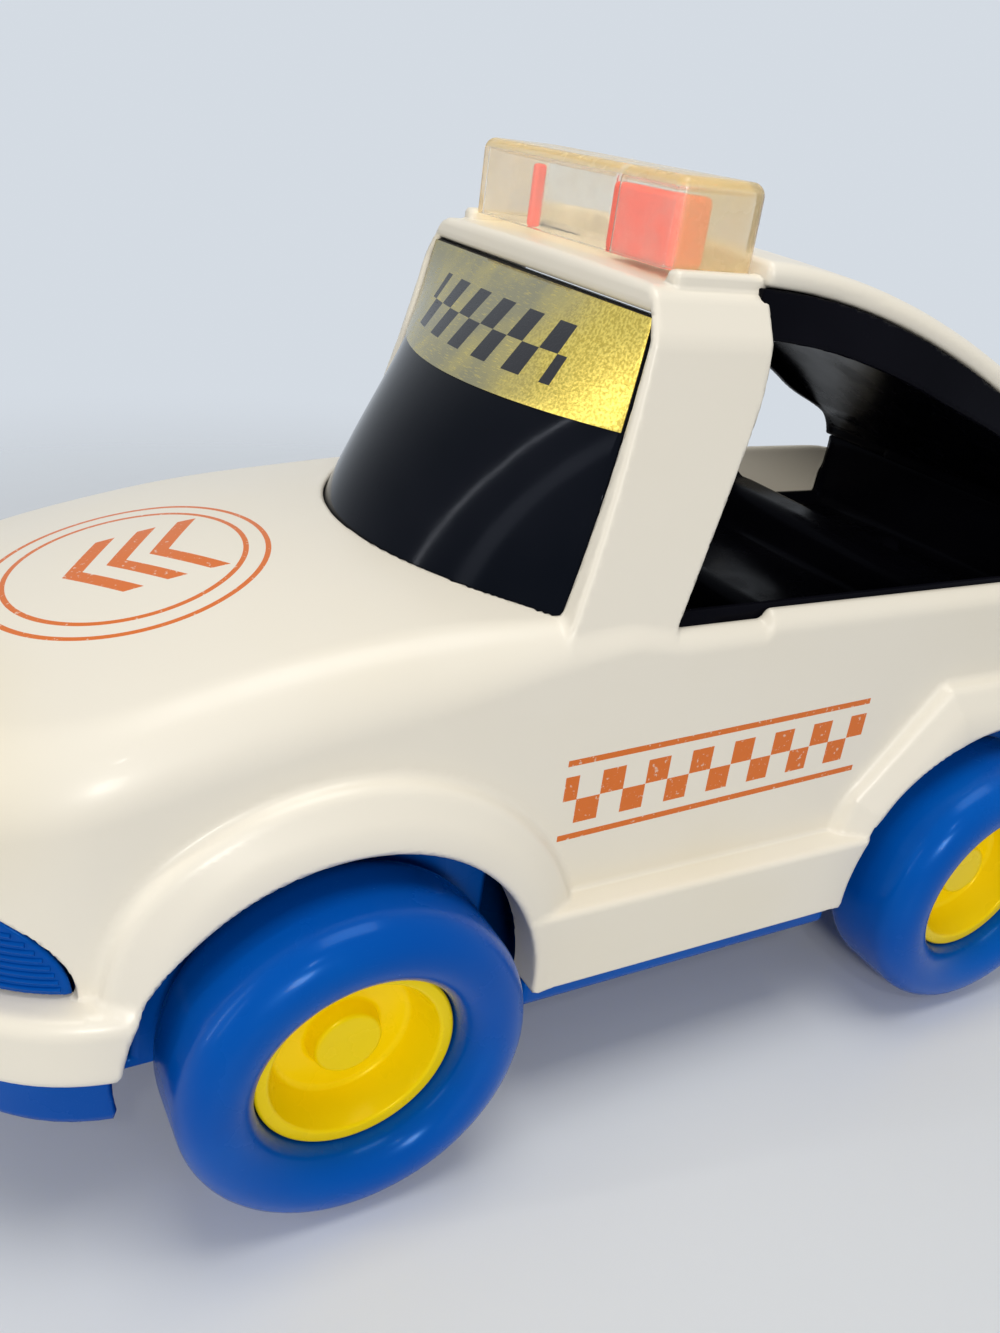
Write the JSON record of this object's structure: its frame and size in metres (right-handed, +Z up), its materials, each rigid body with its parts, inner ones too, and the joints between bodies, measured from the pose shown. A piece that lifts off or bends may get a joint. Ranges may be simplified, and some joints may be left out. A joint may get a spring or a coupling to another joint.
{
  "type": "toy police car",
  "caption": "Chunky open-sided toy police car with a swept roof strip, smoked windscreen, clear roof light and free-rolling wheels on steel axles.",
  "frame": {"origin": "on the ground under the middle of the car's bounding box, between the four tyres", "axes": "+X to the front of the car, +Y to the car's left, +Z up"},
  "size_m": [0.2928, 0.146, 0.1763],
  "materials": {
    "body_white": "glossy warm off-white, lightly scuffed",
    "blue_plastic": "glossy royal blue",
    "black_plastic": "glossy black",
    "smoked_screen": "very dark smoked gloss",
    "gold_foil": "worn gold foil",
    "clear_cover": "clear with an aged yellow tint",
    "red_beacon": "glossy red-orange",
    "axle_steel": "bare steel",
    "blue_tyre": "glossy royal blue moulded plastic",
    "yellow_hub": "glossy yellow",
    "screw_steel": "plain steel"
  },
  "bodies": {
    "car": {"body_shell": "body_white", "chassis": "blue_plastic", "cabin_liner": "black_plastic", "roof_lining": "black_plastic", "windscreen": "smoked_screen", "screen_band": "gold_foil", "light_cover": "clear_cover", "beacon_block": "red_beacon", "headlight_left": "blue_plastic", "headlight_right": "blue_plastic", "chassis_screws": "screw_steel"},
    "front_wheelset": {"front_axle": "axle_steel", "tyre_front_left": "blue_tyre", "tyre_front_right": "blue_tyre", "hub_front_left": "yellow_hub", "hub_front_right": "yellow_hub"},
    "rear_wheelset": {"rear_axle": "axle_steel", "tyre_rear_left": "blue_tyre", "tyre_rear_right": "blue_tyre", "hub_rear_left": "yellow_hub", "hub_rear_right": "yellow_hub"}
  },
  "joints": [
    {"name": "front_wheels_roll", "type": "hinge", "parent": "car", "child": "front_wheelset", "pos_m": [0.0715, 0, 0.032], "axis": [0, 1, 0], "continuous": true},
    {"name": "rear_wheels_roll", "type": "hinge", "parent": "car", "child": "rear_wheelset", "pos_m": [-0.0865, 0, 0.032], "axis": [0, 1, 0], "continuous": true}
  ]
}
